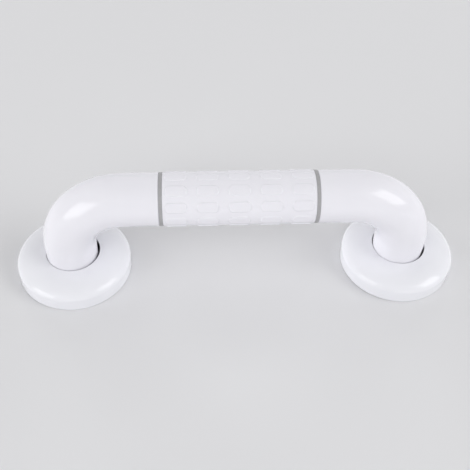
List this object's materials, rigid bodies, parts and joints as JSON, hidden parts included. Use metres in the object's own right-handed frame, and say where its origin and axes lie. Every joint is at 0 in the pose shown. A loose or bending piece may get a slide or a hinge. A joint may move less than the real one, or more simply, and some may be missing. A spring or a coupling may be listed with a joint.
{
  "type": "grab bar",
  "caption": "Short wall-mounted grab bar: a straight grip with raised pads between two smooth elbows, each on a round flange with a loose domed cover; a handhold by a bath or shower.",
  "frame": {"origin": "on the wall plane, midway between the axes of the two legs", "axes": "+X along the bar towards the right flange, +Z out of the wall towards the grip"},
  "size_m": [0.3059, 0.0781, 0.0839],
  "materials": {
    "white_plastic": "glossy moulded white",
    "grey_plastic": "satin mid grey",
    "core_steel": "drawn tube",
    "plate_steel": "brushed sheet",
    "screw_steel": "bright turned"
  },
  "bodies": {
    "bar": {"grip_sleeve": "white_plastic", "core_tube": "core_steel", "left_elbow": "white_plastic", "left_ring": "grey_plastic", "left_base_plate": "plate_steel", "left_foot_screws": "screw_steel", "left_lock_screw": "screw_steel", "right_elbow": "white_plastic", "right_ring": "grey_plastic", "right_base_plate": "plate_steel", "right_foot_screws": "screw_steel", "right_lock_screw": "screw_steel"},
    "left_cover": {"left_cover": "white_plastic"},
    "right_cover": {"right_cover": "white_plastic"}
  },
  "joints": [
    {"name": "left_cover_slide", "type": "slide", "parent": "bar", "child": "left_cover", "axis": [0, 0, 1], "range_m": [0, 0.01]},
    {"name": "right_cover_slide", "type": "slide", "parent": "bar", "child": "right_cover", "axis": [0, 0, 1], "range_m": [0, 0.01]}
  ]
}
